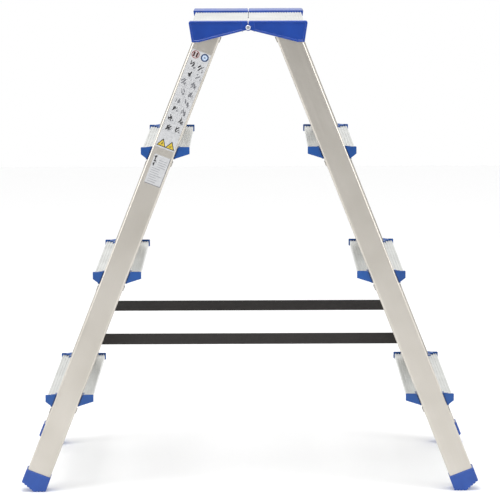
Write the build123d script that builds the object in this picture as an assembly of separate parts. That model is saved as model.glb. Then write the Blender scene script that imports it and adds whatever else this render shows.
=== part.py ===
from build123d import *
import os
from math import atan2, cos, radians, sin, tan

# Double-sided folding step ladder: two leaning leg frames with three treads each,
# hinged together under a split top platform. X is the fore-and-aft direction in which
# the legs spread, Y is the ladder's width and Z is up. The origin is on the floor,
# in the middle. The near side is at -Y. All lengths are in millimetres.

# Overall
WIDTH = 420.0            # over the outer faces of the stiles
LEAN = 21.5              # degrees between a leg and the vertical
FOOT_X = 405.3           # where a stile's centre line meets the floor
HINGE_Z = 860.0
FOLD_LIMIT = 44.0        # degrees that the right frame swings in to close
TREAD_HEIGHTS = (182.5, 412.5, 642.5)
PLATFORM_TOP = 872.0
PLATFORM_HALF = 108.3

# Stiles: lipped channels, open towards the middle of the ladder
STILE_W = 44.0
STILE_D = 28.0
STILE_WALL = 2.0
STILE_LIP = 11.0
STILE_CORNER = 4.0
STILE_TOE_Z = 8.0        # the lower end is cut on the slant, inside the foot
STILE_HEEL_Z = 24.0
STILE_TOP_Z = 850.0

# Step brackets
BRACKET_HALF = 44.5
BRACKET_EDGE = 13.0      # height of the bracket's free ends
BRACKET_DROP = 22.5      # height of the bracket beside the stile
BRACKET_SETBACK = 3.0    # behind the stile's outer face
BRACKET_WALL = 3.0
BRACKET_GAP = 1.6        # between the bracket's plate and the stile's flange
SLEEVE_DROP = 1.5        # below the bracket's rim
FAIRING_W = 11.0         # slopes down inward, on the stile's outer side
FAIRING_H = 1.5          # above the bracket's rim
FAIRING_END = 14.0
FAIRING_EDGE = 2.0       # height of its inner end above the tread
WEB_SPAN = (14.0, 17.0)  # depth of the webs that carry the tread
TONGUE_DROP = 44.0       # how far the bracket reaches down inside the stile
SLIP = 0.1               # assembly clearance between a bracket and its stile

# Treads
TREAD_HALF = 42.0
TREAD_SETDOWN = 3.0      # below the bracket's rim
TREAD_LIP = 10.0
TREAD_BOX_HALF = 15.0
TREAD_BOX_DROP = 19.0
SHEET = 2.0
RIB_PITCH = 5.0
RIB_W = 2.0
RIB_H = 1.0

# Platform
PLATFORM_SETDOWN = 6.0
PLATFORM_LIP = 16.0
PLATE_OUT = 5.0          # the platform bracket's plate stands this far outside the stile
SEAM = 0.5               # half of the gap between the two brackets
RIM_SLOPE = (20.0, 3.0)  # width and height of the slope along the rim's inner edge
PLATE_ROUNDING = 1.8     # along the outer edges of the bracket's face
PANEL_START = 11.0       # from the middle, clear of the hinge
PANEL_MARGIN = 3.0
PANEL_DEPTH = 1.2        # its sides slope at 45 degrees
PLANK_START = 0.8
PLANK_END = 103.0

# Hinge
KNUCKLE_R = 6.0
KNUCKLE_GAP = 0.3
PIN_R = 2.5
PIN_FIT = 0.05
PIN_HEAD_R = 4.6
PIN_HEAD_H = 2.6
DIMPLE_R = 1.7
DIMPLE_DEPTH = 3.0       # behind the plate's face
OUTER_LUG_END = 6.0
INNER_LUG_START = 17.6
INNER_LUG_END = 27.0

# Rivets through the stile flanges
RIVET_R = 2.4
RIVET_HEAD_R = 5.5
RIVET_HEAD_H = 1.7
RIVET_LENGTH = 9.0
RIVET_DROP = 32.0        # below the bracket's rim
RIVET_DEPTH = 14.0       # inward of the stile's outer face
PLATFORM_RIVET_Z = 837.0

# Straps
STRAP_Z = 282.5
STRAP_W = 20.5
STRAP_T = 1.6
STRAP_RIVET_R = 2.0
STRAP_END = 7.0          # webbing beyond the rivet
WASHER_R = 7.0
WASHER_T = 1.0

# Feet
FOOT_WALL = 2.5          # on the outer flange and over the stile's two faces
FOOT_WALL_INNER = 1.2
FOOT_FLAT = (380.0, 402.0)
FOOT_HEEL_Z = 19.0
FOOT_UP = 37.0           # along the stile from the floor point to the foot's top edge
FOOT_CHAMFER = 1.5
GROOVE_W = 2.2
GROOVE_DEPTH = 1.0
GROOVE_PITCH = 6.0

# Labels on the near left stile: a span of height on its centre line, width and shift
LABEL_T = 0.2
INFO_LABEL = (639.5, 816.0, 36.4, 0.2)
RATING_LABEL = (574.5, 627.0, 31.0, -2.5)

COS = cos(radians(LEAN))
SIN = sin(radians(LEAN))
PLATE_END = STILE_D + BRACKET_WALL
BRACKET_BACK = BRACKET_SETBACK + BRACKET_WALL
SLEEVE = STILE_W / 2 + SLIP + BRACKET_WALL


def stile_x(z):
    return FOOT_X - z * tan(radians(LEAN))


# A solid with an outline in XZ, between two depths inward of the near stile face.
def slab(outline, start, end):
    plane = Plane(origin=(0, -WIDTH / 2 + end, 0), x_dir=(1, 0, 0), z_dir=(0, -1, 0))
    return extrude(plane * make_face(Polyline(*outline, close=True)), amount=end - start)


# A slanted strip of the stile between two offsets across it and two heights. The
# outer side may start at a height of its own.
def strip(inner, outer, low, high, low_outer=None):
    heel = low if low_outer is None else low_outer
    return [
        (stile_x(low) + inner / COS, low),
        (stile_x(heel) + outer / COS, heel),
        (stile_x(high) + outer / COS, high),
        (stile_x(high) + inner / COS, high),
    ]


def rectangle(x0, x1, z0, z1):
    return [(x0, z0), (x1, z0), (x1, z1), (x0, z1)]


# A disc or bar along Y, between two depths inward of the near stile face.
def round_bar(x, z, radius, start, end):
    plane = Plane(origin=(x, -WIDTH / 2 + end, z), x_dir=(1, 0, 0), z_dir=(0, -1, 0))
    return extrude(plane * Circle(radius), amount=end - start)


def edges_along_y(solid, x, z, reach):
    return [
        e for e in solid.edges().filter_by(Axis.Y)
        if abs(e.center().X - x) < reach and abs(e.center().Z - z) < reach
    ]


def to_far(shape):
    return mirror(shape, about=Plane.XZ)


def to_left(shape):
    return mirror(shape, about=Plane.YZ)


# The place of a flange rivet: side is 1 on the outer flange and -1 on the inner one.
def flange_point(z, side):
    return (stile_x(z) + side * STILE_W / 2 / COS, z)


def flange_plane(z, side):
    x, height = flange_point(z, side)
    return Plane(
        origin=(x, -WIDTH / 2 + RIVET_DEPTH, height),
        x_dir=(0, 1, 0),
        z_dir=(side * COS, 0, side * SIN),
    )


def rivet_hole(z, side, radius=RIVET_R + PIN_FIT):
    return flange_plane(z, side) * Cylinder(radius, 2 * RIVET_LENGTH + 1)


def flange_rivet(z, side):
    head = Cylinder(RIVET_HEAD_R, RIVET_HEAD_H, align=(Align.CENTER, Align.CENTER, Align.MIN))
    head = fillet(head.edges().sort_by(Axis.Z)[-1], RIVET_HEAD_H * 0.8)
    shank = Cylinder(RIVET_R, RIVET_LENGTH, align=(Align.CENTER, Align.CENTER, Align.MAX))
    return flange_plane(z, side) * (head + shank)


def rivet_places():
    places = [(top - RIVET_DROP, side) for top in TREAD_HEIGHTS for side in (-1, 1)]
    return places + [(PLATFORM_RIVET_Z, -1)]


def strap_rivet_x():
    return stile_x(STRAP_Z) - (STILE_W / 2 - STILE_LIP / 2) / COS


def make_stile():
    half = STILE_W / 2
    low, high = STILE_TOE_Z, STILE_TOP_Z
    body = slab(strip(-half, half, low, high, STILE_HEEL_Z), 0, STILE_D)
    slant = Axis((0, 0, 0), (-SIN, 0, COS))
    corners = body.edges().filter_by(slant).sort_by(Axis.Y)[:2]
    body = fillet(corners, STILE_CORNER)
    inside = half - STILE_WALL
    margin = STILE_W
    hollow = slab(strip(-inside, inside, low - margin, high + margin), STILE_WALL, STILE_D - STILE_WALL)
    corners = hollow.edges().filter_by(slant).sort_by(Axis.Y)[:2]
    body -= fillet(corners, STILE_CORNER - STILE_WALL)
    mouth = half - STILE_LIP
    body -= slab(strip(-mouth, mouth, low - margin, high + margin), STILE_D / 2, STILE_D)
    for z, side in rivet_places():
        body -= rivet_hole(z, side)
    return body - round_bar(strap_rivet_x(), STRAP_Z, STRAP_RIVET_R + PIN_FIT, STILE_D / 2, STILE_D)


# The part of a bracket that fills the stile's channel and reaches out through its mouth.
def make_tongue(low, high):
    inside = STILE_W / 2 - STILE_WALL - SLIP
    mouth = STILE_W / 2 - STILE_LIP - SLIP
    core = slab(strip(-inside, inside, low, high), STILE_WALL + 2, STILE_D - STILE_WALL - SLIP)
    return core + slab(strip(-mouth, mouth, low, high), STILE_D / 2, STILE_D + BRACKET_WALL)


# A solid with an outline in YZ, depths counted inward of the near stile face, between
# two places along X.
def bar_along_x(outline, start, end):
    points = [(depth - WIDTH / 2, z) for depth, z in outline]
    return extrude(Plane.YZ.offset(start) * make_face(Polyline(*points, close=True)), amount=end - start)


# The fairing rises towards the stile, and slopes down inward to a low edge on the tread.
def make_fairing(x, top):
    surface = top - TREAD_SETDOWN
    crest = top + FAIRING_H
    rise = [(x, surface), (x + FAIRING_W, surface), (x + FAIRING_W, top), (x, crest)]
    start = BRACKET_BACK - 1
    edge = surface + FAIRING_EDGE
    slope = [
        (start, surface), (FAIRING_END, surface), (FAIRING_END, edge), (BRACKET_BACK, crest), (start, crest),
    ]
    return slab(rise, start, FAIRING_END) & bar_along_x(slope, x, x + FAIRING_W)


# The step bracket is a thin plate either side of the stile, joined to a sleeve that
# wraps the stile. The tread's notched end fits round the sleeve and meets the plate.
def make_step_bracket(top):
    x = stile_x(top)
    low = top - BRACKET_DROP
    reach = STILE_W / 2 / COS
    outline = [
        (x - BRACKET_HALF, top),
        (x + BRACKET_HALF, top),
        (x + BRACKET_HALF, top - BRACKET_EDGE),
        (stile_x(low) + reach, low),
        (stile_x(low) - reach, low),
        (x - BRACKET_HALF, top - BRACKET_EDGE),
    ]
    body = slab(outline, BRACKET_SETBACK, BRACKET_BACK)
    ends = edges_along_y(body, x - BRACKET_HALF, top, 1) + edges_along_y(body, x + BRACKET_HALF, top, 1)
    body = fillet(ends, 1.5)
    gap = STILE_W / 2 + BRACKET_GAP
    body -= slab(strip(-gap, gap, low - 1, top + 1), BRACKET_SETBACK, BRACKET_BACK)
    body += slab(strip(-SLEEVE, SLEEVE, low, top - SLEEVE_DROP), BRACKET_BACK - 1, PLATE_END)
    surface = top - TREAD_SETDOWN
    underside = surface - RIB_H - SHEET - SLIP
    inside = TREAD_HALF - SHEET - SLIP
    web = slab(outline, *WEB_SPAN) & slab(rectangle(x - inside, x + inside, low, underside), *WEB_SPAN)
    rib = rectangle(x + SLEEVE / COS - 1, x + SLEEVE / COS + 2, low, underside)
    body += web + (slab(rib, BRACKET_BACK - 1, PLATE_END) & slab(outline, BRACKET_BACK - 1, PLATE_END))
    body += make_fairing(x + reach, top)
    clear = STILE_W / 2 + SLIP
    body -= slab(strip(-clear, clear, low - 10, top + 10), 0, STILE_D)
    body += make_tongue(top - TONGUE_DROP, top - BRACKET_WALL)
    spigot = rectangle(
        x - TREAD_BOX_HALF + SHEET + SLIP, x + TREAD_BOX_HALF - SHEET - SLIP,
        surface - TREAD_BOX_DROP + SHEET + SLIP, underside,
    )
    body += slab(spigot, PLATE_END - 1, PLATE_END + 25)
    for side in (-1, 1):
        body -= rivet_hole(top - RIVET_DROP, side)
    return body


# A ribbed plank with rolled edges and a box beam along its middle, lying along Y.
def make_plank(x0, x1, top, lip_x, beam_x, lip, drop, start):
    span = (start, WIDTH / 2)
    face = top - RIB_H
    beam = TREAD_BOX_HALF
    section = slab(rectangle(x0, x1, face - SHEET, face), *span)
    for x in lip_x:
        section += slab(rectangle(x, x + SHEET, top - lip, face), *span)
    section += slab(rectangle(beam_x - beam, beam_x + beam, top - drop, face), *span)
    hollow = rectangle(beam_x - beam + SHEET, beam_x + beam - SHEET, top - drop + SHEET, face - SHEET)
    section -= slab(hollow, *span)
    count = int((x1 - x0 - RIB_W) // RIB_PITCH) + 1
    first = (x0 + x1) / 2 - (count - 1) * RIB_PITCH / 2
    for i in range(count):
        x = first + i * RIB_PITCH
        section += slab(rectangle(x - RIB_W / 2, x + RIB_W / 2, face - 0.5, top), *span)
    return section + to_far(section)


def make_tread(top):
    x = stile_x(top)
    surface = top - TREAD_SETDOWN
    lips = (x - TREAD_HALF, x + TREAD_HALF - SHEET)
    tread = make_plank(
        x - TREAD_HALF, x + TREAD_HALF, surface, lips, x, TREAD_LIP, TREAD_BOX_DROP, BRACKET_BACK,
    )
    half = SLEEVE + SLIP
    notch = slab(strip(-half, half, surface - TREAD_BOX_DROP - 1, top), 0, PLATE_END + SLIP)
    return tread - notch - to_far(notch)


def make_platform():
    surface = PLATFORM_TOP - PLATFORM_SETDOWN
    lips = (PLANK_START + 9, PLANK_END - SHEET)
    return make_plank(
        PLANK_START, PLANK_END, surface, lips, stile_x(surface), PLATFORM_LIP, PLATFORM_LIP + 2,
        PLATE_END,
    )


# The platform bracket covers the stile's top. The left one carries the two outer
# hinge lugs and the right one the lug between them.
def make_platform_bracket(lugs):
    low = PLATFORM_TOP - 38.5
    hinge_low = HINGE_Z - 5
    slack = (HINGE_Z - hinge_low) * tan(radians(FOLD_LIMIT / 2 + 1))
    outline = [
        (SEAM, PLATFORM_TOP),
        (PLATFORM_HALF, PLATFORM_TOP),
        (PLATFORM_HALF - 6, low),
        (PLATFORM_HALF - 19, low),
        (SEAM + slack + 1.5, hinge_low),
        (SEAM + slack, hinge_low),
        (SEAM, HINGE_Z),
    ]
    body = slab(outline, -PLATE_OUT, PLATE_END)
    body = fillet(edges_along_y(body, PLATFORM_HALF, PLATFORM_TOP, 1), 4)
    body = fillet(edges_along_y(body, SEAM, PLATFORM_TOP, 1), 2.5)
    body = fillet(edges_along_y(body, PLATFORM_HALF - 6, low, 1), 1.5)
    rim = [e for e in body.faces().sort_by(Axis.Y)[0].edges() if e.center().X > PANEL_START]
    body = fillet(rim, PLATE_ROUNDING)
    beside_hinge = Pos(PANEL_START, HINGE_Z) * Rectangle(
        PLATFORM_HALF, PLATFORM_HALF, align=(Align.MIN, Align.CENTER))
    panel = offset(make_face(Polyline(*outline, close=True)), -PANEL_MARGIN) & beside_hinge
    face = Plane(origin=(0, -WIDTH / 2 - PLATE_OUT, 0), x_dir=(1, 0, 0), z_dir=(0, 1, 0))
    body -= extrude(face * mirror(panel, about=Plane.XZ), amount=PANEL_DEPTH, taper=45)
    across, rise = RIM_SLOPE
    slope = [(PLATE_END - across, PLATFORM_TOP), (PLATE_END, PLATFORM_TOP), (PLATE_END, PLATFORM_TOP - rise)]
    body -= bar_along_x(slope, 0, PLATFORM_HALF)
    clear = STILE_W / 2 + SLIP
    body -= slab(strip(-clear, clear, low - 40, STILE_TOP_Z + SLIP), 0, STILE_D)
    pocket = [(14, PLATFORM_TOP - 9), (42, PLATFORM_TOP - 9), (50, low - 1), (14, low - 1)]
    body -= slab(pocket, BRACKET_WALL, STILE_D)
    body -= round_bar(0, HINGE_Z, KNUCKLE_R + KNUCKLE_GAP, -PLATE_OUT - 1, PLATE_END + 1)
    for start, end in lugs:
        lug = round_bar(0, HINGE_Z, KNUCKLE_R, start, end)
        arm = [(0, HINGE_Z - 2), (KNUCKLE_R + 2, HINGE_Z - 4), (KNUCKLE_R + 2, HINGE_Z + 5), (0, HINGE_Z + 5)]
        body += lug + slab(arm, start, end)
    body += make_tongue(PLATFORM_RIVET_Z - 24, STILE_TOP_Z - 1)
    neck = strip(-18, 18, STILE_TOP_Z - 4, STILE_TOP_Z + 4)
    body += slab(neck, STILE_WALL + 2, STILE_D - STILE_WALL - SLIP)
    body -= round_bar(0, HINGE_Z, PIN_R + PIN_FIT, -PLATE_OUT - 1, PLATE_END + 1)
    return body - rivet_hole(PLATFORM_RIVET_Z, -1)


def make_hinge_pin():
    shank = round_bar(0, HINGE_Z, PIN_R, -PLATE_OUT, INNER_LUG_END)
    head = round_bar(0, HINGE_Z, PIN_HEAD_R, -PLATE_OUT - PIN_HEAD_H, -PLATE_OUT)
    head = fillet(head.edges().sort_by(Axis.Y)[0], PIN_HEAD_H * 0.7)
    dimple = round_bar(0, HINGE_Z, DIMPLE_R, -PLATE_OUT - PIN_HEAD_H - 1, -PLATE_OUT + DIMPLE_DEPTH)
    tail = round_bar(0, HINGE_Z, PIN_HEAD_R - 0.6, INNER_LUG_END, INNER_LUG_END + PIN_HEAD_H)
    return shank + head - dimple + tail


# A groove across the foot's sole, at a place on it and turned to follow it.
def sole_groove(x, z, tilt):
    plane = Plane(
        origin=(x, -WIDTH / 2 + STILE_D + 5, z), x_dir=(cos(tilt), 0, sin(tilt)), z_dir=(0, -1, 0),
    )
    return extrude(plane * Rectangle(GROOVE_W, 2 * GROOVE_DEPTH), amount=STILE_D + 10)


def make_foot():
    inner = STILE_W / 2 + FOOT_WALL_INNER
    outer = STILE_W / 2 + FOOT_WALL
    top_outer = FOOT_UP * COS + outer * SIN
    top_inner = FOOT_UP * COS - inner * SIN
    heel_x = stile_x(FOOT_HEEL_Z) + outer / COS
    outline = [
        (FOOT_FLAT[0], 0),
        (FOOT_FLAT[1], 0),
        (heel_x, FOOT_HEEL_Z),
        (stile_x(top_outer) + outer / COS, top_outer),
        (stile_x(top_inner) - inner / COS, top_inner),
    ]
    body = slab(outline, -FOOT_WALL, STILE_D + FOOT_WALL)
    body = fillet(edges_along_y(body, heel_x, FOOT_HEEL_Z, 1) + edges_along_y(body, FOOT_FLAT[1], 0, 1), 3)
    slant = Axis((0, 0, 0), (-SIN, 0, COS))
    rim = body.faces().sort_by(slant)[-1].edges().sort_by(Axis((0, 0, 0), (COS, 0, SIN)))
    body = chamfer(rim[1:], FOOT_CHAMFER)
    clear = STILE_W / 2 + SLIP
    pocket = strip(-clear, clear, STILE_TOE_Z - SLIP, top_outer + 20, STILE_HEEL_Z - SLIP)
    body -= slab(pocket, -SLIP, STILE_D + SLIP)
    bevel = atan2(FOOT_HEEL_Z, heel_x - FOOT_FLAT[1])
    for i in range(1, 4):
        body -= sole_groove(FOOT_FLAT[1] - GROOVE_PITCH * i, 0, 0)
    for i in range(1, 5):
        away = GROOVE_PITCH * i
        body -= sole_groove(FOOT_FLAT[1] + away * cos(bevel), away * sin(bevel), bevel)
    return body


def make_strap():
    end = strap_rivet_x() + STRAP_END
    low = STRAP_Z - STRAP_W / 2
    strap = slab(rectangle(-end, end, low, low + STRAP_W), STILE_D, STILE_D + STRAP_T)
    for x in (-strap_rivet_x(), strap_rivet_x()):
        strap -= round_bar(x, STRAP_Z, STRAP_RIVET_R + PIN_FIT, STILE_D - 1, STILE_D + STRAP_T + 1)
    return strap


def make_strap_washer():
    x = strap_rivet_x()
    start = STILE_D + STRAP_T
    disc = round_bar(x, STRAP_Z, WASHER_R, start, start + WASHER_T)
    return disc - round_bar(x, STRAP_Z, STRAP_RIVET_R + PIN_FIT, start - 1, start + WASHER_T + 1)


def make_strap_rivet():
    x = strap_rivet_x()
    face = STILE_D + STRAP_T + WASHER_T
    head = round_bar(x, STRAP_Z, 2 * STRAP_RIVET_R, face, face + 1.6)
    head = fillet(head.edges().sort_by(Axis.Y)[-1], 1.2)
    shank = round_bar(x, STRAP_Z, STRAP_RIVET_R, STILE_D - STILE_WALL, face)
    tail = round_bar(x, STRAP_Z, 1.7 * STRAP_RIVET_R, STILE_D - STILE_WALL - 1.4, STILE_D - STILE_WALL)
    return head + shank + tail


# A label square to the stile, as a thin sheet on its outer face.
def make_label(low, high, width, shift):
    corners = []
    for z, side in ((low, -1), (low, 1), (high, 1), (high, -1)):
        across = shift + side * width / 2
        corners.append((stile_x(z) + across * COS, z + across * SIN))
    return slab(corners, -LABEL_T, 0)


def save(name, shape):
    solids = shape.solids()
    export_step(solids[0] if len(solids) == 1 else Compound(children=list(solids)), f"parts/{name}.step")


def both_sides(shape):
    return {"near": shape, "far": to_far(shape)}


def frame_nodes(place, lugs):
    nodes = {}
    for side, shape in both_sides(make_stile()).items():
        nodes[f"stile_{side}"] = shape
    for side, shape in both_sides(make_foot()).items():
        nodes[f"foot_{side}"] = shape
    for side, shape in both_sides(make_platform_bracket(lugs)).items():
        nodes[f"platform_bracket_{side}"] = shape
    nodes["platform_plank"] = make_platform()
    for number, top in enumerate(TREAD_HEIGHTS, 1):
        nodes[f"tread_{number}"] = make_tread(top)
        for side, shape in both_sides(make_step_bracket(top)).items():
            nodes[f"step_bracket_{number}_{side}"] = shape
    step_rivets = [flange_rivet(z, side) for z, side in rivet_places()[:-1]]
    platform_rivet = flange_rivet(*rivet_places()[-1])
    nodes["step_rivets"] = Compound(children=step_rivets + [to_far(r) for r in step_rivets])
    nodes["platform_rivets"] = Compound(children=[platform_rivet, to_far(platform_rivet)])
    nodes["strap_washers"] = Compound(children=[make_strap_washer(), to_far(make_strap_washer())])
    nodes["strap_rivets"] = Compound(children=[make_strap_rivet(), to_far(make_strap_rivet())])
    return {f"{place}_{name}": shape for name, shape in nodes.items()}


os.makedirs("parts", exist_ok=True)

outer_lugs = [(-PLATE_OUT, OUTER_LUG_END), (INNER_LUG_START, INNER_LUG_END)]
middle_lug = [(OUTER_LUG_END + KNUCKLE_GAP, INNER_LUG_START - KNUCKLE_GAP)]

for name, shape in frame_nodes("left", outer_lugs).items():
    save(name, to_left(shape))
for name, shape in frame_nodes("right", middle_lug).items():
    save(name, shape)
for side, shape in both_sides(make_hinge_pin()).items():
    save(f"hinge_pin_{side}", shape)
for side, shape in both_sides(make_strap()).items():
    save(f"strap_{side}", shape)
save("info_label", to_left(make_label(*INFO_LABEL)))
save("rating_label", to_left(make_label(*RATING_LABEL)))
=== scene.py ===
import math
import random

import bmesh
import bpy
from mathutils import Matrix, Vector


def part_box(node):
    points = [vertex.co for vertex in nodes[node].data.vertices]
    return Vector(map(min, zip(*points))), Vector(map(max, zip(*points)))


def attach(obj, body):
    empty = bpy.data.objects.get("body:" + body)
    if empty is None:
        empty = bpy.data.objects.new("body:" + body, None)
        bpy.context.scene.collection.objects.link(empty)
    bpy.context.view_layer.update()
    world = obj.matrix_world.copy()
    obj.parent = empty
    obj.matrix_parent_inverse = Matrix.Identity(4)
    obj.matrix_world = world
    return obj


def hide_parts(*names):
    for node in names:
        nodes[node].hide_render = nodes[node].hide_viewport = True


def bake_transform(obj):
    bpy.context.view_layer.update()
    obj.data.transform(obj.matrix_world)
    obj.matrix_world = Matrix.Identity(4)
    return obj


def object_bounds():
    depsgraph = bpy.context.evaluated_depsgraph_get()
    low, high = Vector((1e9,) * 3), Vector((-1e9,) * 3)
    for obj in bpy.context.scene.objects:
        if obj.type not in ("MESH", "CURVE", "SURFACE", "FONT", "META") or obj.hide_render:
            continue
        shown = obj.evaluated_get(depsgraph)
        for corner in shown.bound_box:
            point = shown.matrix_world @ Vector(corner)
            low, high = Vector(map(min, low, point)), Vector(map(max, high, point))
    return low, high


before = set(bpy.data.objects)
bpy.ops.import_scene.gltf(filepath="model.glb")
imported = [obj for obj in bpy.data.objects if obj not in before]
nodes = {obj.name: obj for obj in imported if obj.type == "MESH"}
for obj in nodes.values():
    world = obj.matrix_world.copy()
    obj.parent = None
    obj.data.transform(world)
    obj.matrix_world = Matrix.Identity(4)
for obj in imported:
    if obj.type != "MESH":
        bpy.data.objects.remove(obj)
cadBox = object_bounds()

lean = math.radians(21.5)  # of a leg from the vertical
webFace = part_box("right_stile_near")[0].y  # outer face of the near stiles


def hexColor(text):
    values = [int(text[i:i + 2], 16) / 255 for i in (1, 3, 5)]
    linear = [v / 12.92 if v <= 0.04045 else ((v + 0.055) / 1.055) ** 2.4 for v in values]
    return (*linear, 1.0)


def grey(value):
    return (value, value, value, 1.0)


def addNode(tree, kind, inputs=None, **settings):
    node = tree.nodes.new(kind)
    for key, value in settings.items():
        setattr(node, key, value)
    for key, value in (inputs or {}).items():
        if isinstance(value, bpy.types.NodeSocket):
            tree.links.new(value, node.inputs[key])
        else:
            node.inputs[key].default_value = value
    return node


def startMaterial(name, settings):
    material = bpy.data.materials.new(name)
    material.use_nodes = True
    tree = material.node_tree
    shader = tree.nodes["Principled BSDF"]
    for key, value in settings.items():
        shader.inputs[key].default_value = value
    return material, tree, shader


# A noise in object space, its scale given as the size of one grain in metres
def addNoise(tree, size, detail, stretch=(1.0, 1.0, 1.0), turn=(0.0, 0.0, 0.0)):
    coords = addNode(tree, "ShaderNodeTexCoord").outputs["Object"]
    turned = addNode(tree, "ShaderNodeMapping", {"Vector": coords, "Rotation": turn})
    scaled = addNode(tree, "ShaderNodeMapping", {
        "Vector": turned.outputs["Vector"], "Scale": tuple(1 / (size * s) for s in stretch)})
    noise = addNode(tree, "ShaderNodeTexNoise", {
        "Vector": scaled.outputs["Vector"], "Scale": 1.0, "Detail": detail, "Roughness": 0.55})
    return noise.outputs["Fac"]


noiseRange = {"From Min": 0.3, "From Max": 0.7}  # where nearly all of a noise's values lie


# Lays patterns on a shader: a tint between two colours, a gloss about its middle value, and relief
def layPatterns(tree, shader, look, tint, gloss=None, relief=None):
    share = addNode(tree, "ShaderNodeMapRange", {"Value": tint, **noiseRange})
    color = addNode(tree, "ShaderNodeMix", {
        "Factor": share.outputs["Result"], "A": hexColor(look["dark"]), "B": hexColor(look["light"]),
    }, data_type="RGBA")
    tree.links.new(color.outputs["Result"], shader.inputs["Base Color"])
    if gloss:
        roughness = addNode(tree, "ShaderNodeMapRange", {
            "Value": gloss, **noiseRange, "To Min": look["roughness"] - look["glossSpread"],
            "To Max": look["roughness"] + look["glossSpread"]})
        tree.links.new(roughness.outputs["Result"], shader.inputs["Roughness"])
    if relief:
        bump = addNode(tree, "ShaderNodeBump", {
            "Height": relief, "Strength": look["reliefStrength"], "Distance": look["reliefDepth"]})
        tree.links.new(bump.outputs["Normal"], shader.inputs["Normal"])


# Extruded aluminium, mill finish: long faint die lines and soft blotches on satin metal
def extrudedAluminium(name, look, turn):
    material, tree, shader = startMaterial(name, {"Metallic": 1.0})
    lines = addNoise(tree, look["lineSpacing"], 3.0, stretch=(1.0, 1.0, look["lineStretch"]), turn=turn)
    layPatterns(tree, shader, look, addNoise(tree, look["blotchSize"], 2.0), lines, lines)
    return material


# Injection-moulded plastic: a satin skin over a fine spark-eroded grain
def mouldedPlastic(name, look):
    material, tree, shader = startMaterial(name, {
        "IOR": look["ior"], "Coat Weight": look["skin"], "Coat IOR": look["ior"],
        "Coat Roughness": look["skinRoughness"]})
    flow = addNoise(tree, look["flowSize"], 3.0)
    layPatterns(tree, shader, look, flow, flow, addNoise(tree, look["grainSize"], 2.0))
    return material


# Rivet and pin metal: cold-headed, so a slightly uneven satin
def headedMetal(name, look):
    material, tree, shader = startMaterial(name, {"Metallic": 1.0})
    marks = addNoise(tree, look["markSize"], 3.0)
    layPatterns(tree, shader, look, marks, marks)
    return material


# Woven polypropylene webbing: picks of thread across the strap, dull with a little sheen
def wovenWebbing(name, look):
    material, tree, shader = startMaterial(name, {
        "Roughness": look["roughness"], "Sheen Weight": look["sheen"],
        "Sheen Roughness": look["sheenRoughness"], "IOR": look["ior"]})
    coords = addNode(tree, "ShaderNodeTexCoord").outputs["UV"]
    scaled = addNode(tree, "ShaderNodeMapping", {
        "Vector": coords, "Scale": (1 / look["pickLength"], 1 / look["threadWidth"], 1.0)})
    weave = addNode(tree, "ShaderNodeTexBrick", {
        "Vector": scaled.outputs["Vector"], "Scale": 1.0, "Brick Width": 1.0, "Row Height": 1.0,
        "Color1": grey(1.0), "Color2": grey(look["threadShade"]), "Mortar": grey(0.0),
        "Mortar Size": look["threadGap"], "Mortar Smooth": 1.0})
    shade = addNode(tree, "ShaderNodeMath", {
        0: weave.outputs["Color"], 1: addNoise(tree, look["fuzzSize"], 3.0)}, operation="MULTIPLY")
    layPatterns(tree, shader, look, shade.outputs["Value"], relief=weave.outputs["Color"])
    return material


filmLook = {"roughness": 0.4, "glossSpread": 0.08, "ior": 1.57, "markSize": 0.006}


# Printed polyester film: a thin sheet with a clear top and faint handling marks
def printedFilm(name, dark, light):
    material, tree, shader = startMaterial(name, {"IOR": filmLook["ior"]})
    marks = addNoise(tree, filmLook["markSize"], 3.0)
    layPatterns(tree, shader, {**filmLook, "dark": dark, "light": light}, marks, marks)
    return material


# Die lines, grain and threads are finer on the real ladder, and are drawn just coarse enough to show
stileLook = {
    "light": "#D2CDC5", "dark": "#C6C1B8", "roughness": 0.38, "glossSpread": 0.05, "blotchSize": 0.11,
    "lineSpacing": 0.0022, "lineStretch": 160.0, "reliefStrength": 0.1, "reliefDepth": 0.0002,
}
treadLook = {
    **stileLook, "light": "#E2E3E0", "dark": "#D3D4D1", "roughness": 0.46, "blotchSize": 0.09,
    "lineSpacing": 0.0015, "reliefStrength": 0.15,
}
capLook = {
    "light": "#11429E", "dark": "#0D388A", "roughness": 0.34, "glossSpread": 0.05,
    "ior": 1.36, "skin": 0.6, "skinRoughness": 0.16, "flowSize": 0.045,
    "grainSize": 0.0012, "reliefStrength": 0.15, "reliefDepth": 0.00008,
}
stepBracketLook = {**capLook, "light": "#14509B", "dark": "#104487"}
footLook = {
    "light": "#2350A4", "dark": "#1C4492", "roughness": 0.5, "glossSpread": 0.05,
    "ior": 1.4, "skin": 0.5, "skinRoughness": 0.3, "flowSize": 0.03,
    "grainSize": 0.0015, "reliefStrength": 0.15, "reliefDepth": 0.0002,
}
rivetLook = {
    "light": "#B9B5AF", "dark": "#97938E", "roughness": 0.42, "glossSpread": 0.08, "markSize": 0.0015,
}
pinLook = {
    "light": "#EEF1F5", "dark": "#D2D7DE", "roughness": 0.3, "glossSpread": 0.08, "markSize": 0.0015,
}
webbingLook = {
    "light": "#332E2B", "dark": "#161312", "roughness": 0.75, "ior": 1.49,
    "sheen": 0.15, "sheenRoughness": 0.5, "fuzzSize": 0.0011,
    "threadWidth": 0.0021, "pickLength": 0.0032, "threadGap": 0.14, "threadShade": 0.82,
    "reliefStrength": 0.6, "reliefDepth": 0.0004,
}

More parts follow.
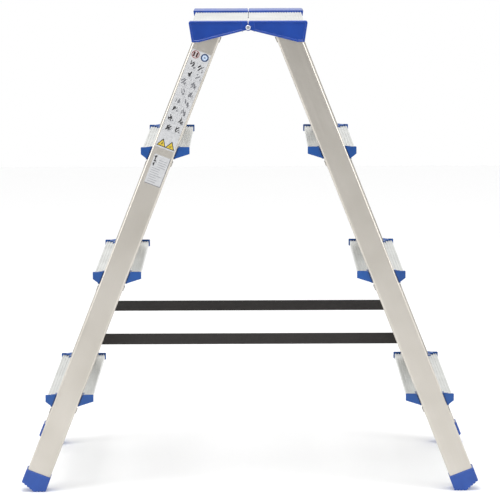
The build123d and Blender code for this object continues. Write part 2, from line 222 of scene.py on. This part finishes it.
leftStileMetal = extrudedAluminium("extrudedAluminiumLeft", stileLook, (0, -lean, 0))
rightStileMetal = extrudedAluminium("extrudedAluminiumRight", stileLook, (0, lean, 0))
treadMetal = extrudedAluminium("extrudedAluminiumTread", treadLook, (math.pi / 2, 0, 0))
capPlastic = mouldedPlastic("mouldedPolypropyleneBlue", capLook)
stepBracketPlastic = mouldedPlastic("mouldedPolypropyleneMidBlue", stepBracketLook)
footPlastic = mouldedPlastic("mouldedSoftPvcBlue", footLook)
rivetMetal = headedMetal("headedAluminium", rivetLook)
pinMetal = headedMetal("zincPlatedSteel", pinLook)
webbing = wovenWebbing("wovenPolypropylene", webbingLook)
labelFilm = printedFilm("polyesterFilmWhite", "#BCBDBF", "#C8C9CB")
print("materials ready")


def finishFor(name):
    if "stile" in name:
        return leftStileMetal if name.startswith("left") else rightStileMetal
    if "tread" in name or "plank" in name:
        return treadMetal
    if "step_bracket" in name:
        return stepBracketPlastic
    if "bracket" in name:
        return capPlastic
    if "foot" in name:
        return footPlastic
    if "label" in name:
        return labelFilm
    if "hinge_pin" in name or "strap" in name:
        return pinMetal
    return rivetMetal


for name, part in nodes.items():
    for slot in part.material_slots:
        slot.link = "OBJECT"
        slot.material = finishFor(name)
print("parts finished:", len(nodes))


def addMesh(name, mesh, *materials):
    data = bpy.data.meshes.new(name)
    mesh.to_mesh(data)
    mesh.free()
    for material in materials:
        data.materials.append(material)
    piece = bpy.data.objects.new(name, data)
    bpy.context.scene.collection.objects.link(piece)
    return piece


# held: the stiff length at each fastening; sharp: the least angle of an edge that is rounded
strapShape = {"cuts": 40, "selvedge": 0.0006, "held": 0.02, "sharp": 1.0}


def runsAlongX(edge):
    return abs(edge.verts[0].co.x - edge.verts[1].co.x) > 0.001


def makeStrap(side):
    low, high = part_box(f"strap_{side}")
    centre, size = (low + high) / 2, high - low
    mesh = bmesh.new()
    bmesh.ops.create_cube(mesh, size=1.0)
    bmesh.ops.scale(mesh, vec=size, verts=mesh.verts)
    lengthwise = [e for e in mesh.edges if runsAlongX(e)]
    bmesh.ops.subdivide_edges(mesh, edges=lengthwise, cuts=strapShape["cuts"], use_grid_fill=True)
    rims = [e for e in mesh.edges if runsAlongX(e) and e.calc_face_angle() > strapShape["sharp"]]
    bmesh.ops.bevel(mesh, geom=rims, offset=strapShape["selvedge"], offset_type="OFFSET",
                    segments=2, profile=0.5, affect="EDGES", material=-1)
    bmesh.ops.translate(mesh, vec=centre, verts=mesh.verts)
    uv = mesh.loops.layers.uv.new("UVMap")
    for face in mesh.faces:
        for loop in face.loops:
            loop[uv].uv = (loop.vert.co.x, loop.vert.co.z)
    strap = addMesh(f"webbing_{side}", mesh, webbing)
    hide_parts(f"strap_{side}")
    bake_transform(strap)


for side in ("near", "far"):
    makeStrap(side)
print("straps ready")


# The labels' print: each shape is a thin prism on the film, in metres across and up the stile
inkColors = {
    "dark": ("#1D1D21", "#29292E"), "soft": ("#66676D", "#77787D"), "note": ("#85878C", "#919398"),
    "line": ("#A3A5AA", "#ACAEB2"), "red": ("#86403E", "#96504C"), "blot": ("#3A1A18", "#482422"),
    "blank": ("#C2BDBE", "#CCC7C8"), "navy": ("#22395F", "#2B4670"), "pale": ("#AFC2DC", "#BFD0E6"),
    "yellow": ("#C9AE2B", "#D6BC3A"),
}
inks = list(inkColors)
inkMaterials = [printedFilm(f"printInk{ink.capitalize()}", *inkColors[ink]) for ink in inks]
layerLift = 0.00003  # how far one layer of print stands above the one below


class LabelPrint:
    def __init__(self, label):
        low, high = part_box(label)
        self.mesh = bmesh.new()
        self.label = label
        self.centre = (low + high) / 2
        self.centre.y = low.y
        self.across = Vector((math.cos(lean), 0, -math.sin(lean)))
        self.up = Vector((math.sin(lean), 0, math.cos(lean)))

    def shape(self, ink, points, level=1):
        corners = [self.mesh.verts.new(self.centre + self.across * u + self.up * v) for u, v in points]
        back = self.mesh.faces.new(corners)
        back.material_index = inks.index(ink)
        raised = bmesh.ops.extrude_face_region(self.mesh, geom=[back], use_keep_orig=True)["geom"]
        front = [v for v in raised if isinstance(v, bmesh.types.BMVert)]
        bmesh.ops.translate(self.mesh, vec=(0, -layerLift * level, 0), verts=front)

    def disc(self, ink, place, radius, level=1, sides=28):
        turns = [2 * math.pi * i / sides for i in range(sides)]
        points = [(place[0] + radius * math.cos(t), place[1] + radius * math.sin(t)) for t in turns]
        self.shape(ink, points, level)

    def stroke(self, ink, start, end, width, level=1):
        a, b = Vector(start), Vector(end)
        side = (b - a).normalized().orthogonal() * width / 2
        self.shape(ink, [a + side, b + side, b - side, a - side], level)

    def finish(self):
        bmesh.ops.recalc_face_normals(self.mesh, faces=self.mesh.faces)
        piece = addMesh(f"{self.label}_print", self.mesh, *inkMaterials)
        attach(piece, "left_frame")


# Each stroke's place, reach and width are shares of its mark's own size and width
markShape = {
    "strokes": (4, 6), "spread": 0.7, "turns": (0.6, 2.2), "reach": (0.3, 0.9), "widths": (0.6, 1.3),
}


# A small made-up mark of a few short strokes and dots
def scatterMark(art, chance, place, size, width, ink):
    spread = markShape["spread"]
    for i in range(chance.randint(*markShape["strokes"])):
        spot = [place[k] + chance.uniform(-spread, spread) * size for k in (0, 1)]
        turn = chance.uniform(*markShape["turns"])
        reach = chance.uniform(*markShape["reach"]) * size
        step = (reach * math.cos(turn), reach * math.sin(turn))
        art.stroke(ink, (spot[0] - step[0], spot[1] - step[1]), (spot[0] + step[0], spot[1] + step[1]),
                   width * chance.uniform(*markShape["widths"]), 2 + i)


# Two round signs at the top, rows of small marks in two columns, and two triangles at the foot
infoShape = {
    "half": 0.0182, "columns": (-0.0089, 0.0089), "outline": 0.0014,
    "signs": 0.0865, "signRadius": 0.0073, "barPlace": 0.0027, "barHalf": 0.0042, "barWidth": 0.0034,
    "discShare": 0.66, "hubShare": 0.2,
    "firstRow": 0.0668, "rowPitch": 0.0172, "rows": 8, "gridWidth": 0.0005,
    "markSize": 0.0052, "markWidth": 0.0017, "drift": (0.0015, 0.001),
    "noteShift": 0.0042, "noteSize": 0.0026, "noteWidth": 0.0007,
    "peaks": -0.0771, "peakHeight": 0.0151, "peakHalf": 0.009, "peakShift": 0.001,
    "topInset": 2.0, "sideInset": 1.7, "peakMarkDrop": 0.66, "peakMarkSize": 0.002,
}


def makeSigns(art, s):
    left, right = s["columns"]
    top, radius = s["signs"], s["signRadius"]
    art.disc("red", (left, top), radius, 1)
    art.disc("blank", (left, top), radius - s["outline"], 2)
    for bar in (left - s["barPlace"], left + s["barPlace"]):
        art.stroke("blot", (bar, top - s["barHalf"]), (bar, top + s["barHalf"]), s["barWidth"], 3)
    art.disc("navy", (right, top), radius, 1)
    art.disc("pale", (right, top), s["discShare"] * radius, 2)
    art.disc("soft", (right, top), s["hubShare"] * radius, 3)


def makeRows(art, chance, s):
    bottom = s["firstRow"] - (s["rows"] - 0.5) * s["rowPitch"]
    art.stroke("line", (0, bottom), (0, s["firstRow"] + s["rowPitch"] / 2), s["gridWidth"])
    driftAcross, driftUp = s["drift"]
    for row in range(s["rows"]):
        height = s["firstRow"] - row * s["rowPitch"]
        edge = height - s["rowPitch"] / 2
        art.stroke("line", (-s["half"], edge), (s["half"], edge), s["gridWidth"])
        for column in s["columns"]:
            ink = chance.choice(["dark", "dark", "soft"])
            place = (column + chance.uniform(-driftAcross, driftAcross),
                     height + chance.uniform(-driftUp, driftUp))
            scatterMark(art, chance, place, s["markSize"], s["markWidth"], ink)
            beside = (place[0] + s["noteShift"], place[1] - s["noteShift"])
            scatterMark(art, chance, beside, s["noteSize"], s["noteWidth"], "soft")


def makeTriangles(art, chance, s):
    left, right = s["columns"]
    for column in (left + s["peakShift"], right):
        for ink, inset, level in (("dark", 0.0, 1), ("yellow", s["outline"], 2)):
            top = s["peaks"] - s["topInset"] * inset
            base = s["peaks"] - s["peakHeight"] + inset
            half = s["peakHalf"] - s["sideInset"] * inset
            art.shape(ink, [(column, top), (column - half, base), (column + half, base)], level)
        middle = (column, s["peaks"] - s["peakMarkDrop"] * s["peakHeight"])
        scatterMark(art, chance, middle, s["peakMarkSize"], s["noteWidth"], "dark")


def makeInfoPrint():
    art = LabelPrint("info_label")
    chance = random.Random(11)
    makeSigns(art, infoShape)
    makeRows(art, chance, infoShape)
    makeTriangles(art, chance, infoShape)
    art.finish()


# A shaded edge on two sides, three small marks and a block of bars, shorter beside the marks
ratingShape = {
    "half": (0.0155, 0.0282), "edgeWidth": 0.0011,
    "marks": (0.022, 0.0155, 0.009), "markColumn": -0.0105, "markSize": 0.0032, "markWidth": 0.0012,
    "rows": 11, "firstRow": 0.019, "rowPitch": 0.0042, "barWidth": 0.0009, "barLength": (0.012, 0.022),
    "besideMarks": 0.006, "shortStart": -0.004, "longStart": -0.012, "barEnd": 0.0115,
}


def makeRatingPrint():
    s = ratingShape
    art = LabelPrint("rating_label")
    chance = random.Random(5)
    halfWidth, halfLength = (half - s["edgeWidth"] / 2 for half in s["half"])
    art.stroke("soft", (halfWidth, -halfLength), (halfWidth, halfLength), s["edgeWidth"])
    art.stroke("soft", (-halfWidth, -halfLength), (halfWidth, -halfLength), s["edgeWidth"])
    for height in s["marks"]:
        scatterMark(art, chance, (s["markColumn"], height), s["markSize"], s["markWidth"], "dark")
    for row in range(s["rows"]):
        height = s["firstRow"] - row * s["rowPitch"]
        start = s["shortStart"] if height > s["besideMarks"] else s["longStart"]
        end = min(start + chance.uniform(*s["barLength"]), s["barEnd"])
        art.stroke("note", (start, height), (end, height), s["barWidth"])
    art.finish()


makeInfoPrint()
makeRatingPrint()
print("label prints ready")


studio = {
    "floorSize": 10.0, "floorGrey": 0.95, "floorRoughness": 0.8, "floorGap": 0.0002,
    "keyPower": 20.0, "keySize": 1.4, "keyPlace": (-0.2, -0.4, 2.4),
    "sidePower": 36.0, "sideSize": 2.2, "sidePlace": (3.4, -1.6, 2.0),
    "horizon": 0.92, "zenith": 0.95, "zenithHeight": 0.8,
    "front": 0.42, "back": 1.1, "frontEnds": (-0.97, -0.5),
}


def makeFloor():
    mesh = bmesh.new()
    bmesh.ops.create_grid(mesh, x_segments=1, y_segments=1, size=studio["floorSize"] / 2)
    paint = startMaterial("paintedFloorWhite", {
        "Base Color": grey(studio["floorGrey"]), "Roughness": studio["floorRoughness"]})[0]
    floor = addMesh("floor", mesh, paint)
    floor.location.z = cadBox[0].z - studio["floorGap"]


def makeLight(name, power, size, place):
    data = bpy.data.lights.new(name, "AREA")
    data.energy, data.size, data.shape = power, size, "DISK"
    light = bpy.data.objects.new(name, data)
    bpy.context.scene.collection.objects.link(light)
    middle = (cadBox[0] + cadBox[1]) / 2
    light.location = place
    light.rotation_euler = (middle - Vector(place)).to_track_quat("-Z", "Y").to_euler()


# A white room, dimmer in front of the ladder, that the camera sees as plain white
def makeWorld():
    world = bpy.data.worlds.new("softStudio")
    bpy.context.scene.world = world
    world.use_nodes = True
    tree = world.node_tree
    tree.nodes.clear()
    direction = addNode(tree, "ShaderNodeTexCoord").outputs["Generated"]
    parts = addNode(tree, "ShaderNodeSeparateXYZ", {"Vector": direction})
    height = addNode(tree, "ShaderNodeMapRange", {
        "Value": parts.outputs["Z"], "From Max": studio["zenithHeight"],
        "To Min": studio["horizon"], "To Max": studio["zenith"]})
    nearest, farthest = studio["frontEnds"]
    depth = addNode(tree, "ShaderNodeMapRange", {
        "Value": parts.outputs["Y"], "From Min": nearest, "From Max": farthest,
        "To Min": studio["front"], "To Max": studio["back"]}, interpolation_type="SMOOTHSTEP")
    strength = addNode(tree, "ShaderNodeMath", {
        0: height.outputs["Result"], 1: depth.outputs["Result"]}, operation="MULTIPLY")
    room = addNode(tree, "ShaderNodeBackground", {"Color": grey(1.0), "Strength": strength.outputs[0]})
    seen = addNode(tree, "ShaderNodeBackground", {"Color": grey(1.0), "Strength": 1.0})
    ray = addNode(tree, "ShaderNodeLightPath").outputs["Is Camera Ray"]
    both = addNode(tree, "ShaderNodeMixShader", {0: ray, 1: room.outputs[0], 2: seen.outputs[0]})
    addNode(tree, "ShaderNodeOutputWorld", {"Surface": both.outputs[0]})


view = {
    "lens": 182.5, "sensor": 36.0, "farthest": 200.0, "distance": 4.594, "height": 1.1424, "across": 0.0059,
    "downTilt": 0.149, "sideTurn": 0.0009, "roll": -0.00396,
}


def makeCamera():
    data = bpy.data.cameras.new("camera")
    data.lens, data.sensor_width, data.clip_end = view["lens"], view["sensor"], view["farthest"]
    camera = bpy.data.objects.new("camera", data)
    bpy.context.scene.collection.objects.link(camera)
    place = Matrix.Translation((view["across"], webFace - view["distance"], view["height"]))
    pan = Matrix.Rotation(view["sideTurn"], 4, "Z")
    tilt = Matrix.Rotation(math.pi / 2 - view["downTilt"], 4, "X")
    camera.matrix_world = place @ pan @ tilt @ Matrix.Rotation(view["roll"], 4, "Z")
    bpy.context.scene.camera = camera


makeFloor()
makeWorld()
makeLight("key", studio["keyPower"], studio["keySize"], studio["keyPlace"])
for name, side in (("left", -1), ("right", 1)):
    across, depth, height = studio["sidePlace"]
    makeLight(name, studio["sidePower"], studio["sideSize"], (side * across, depth, height))
makeCamera()
bpy.context.scene.view_settings.view_transform = "Standard"
print("studio ready")
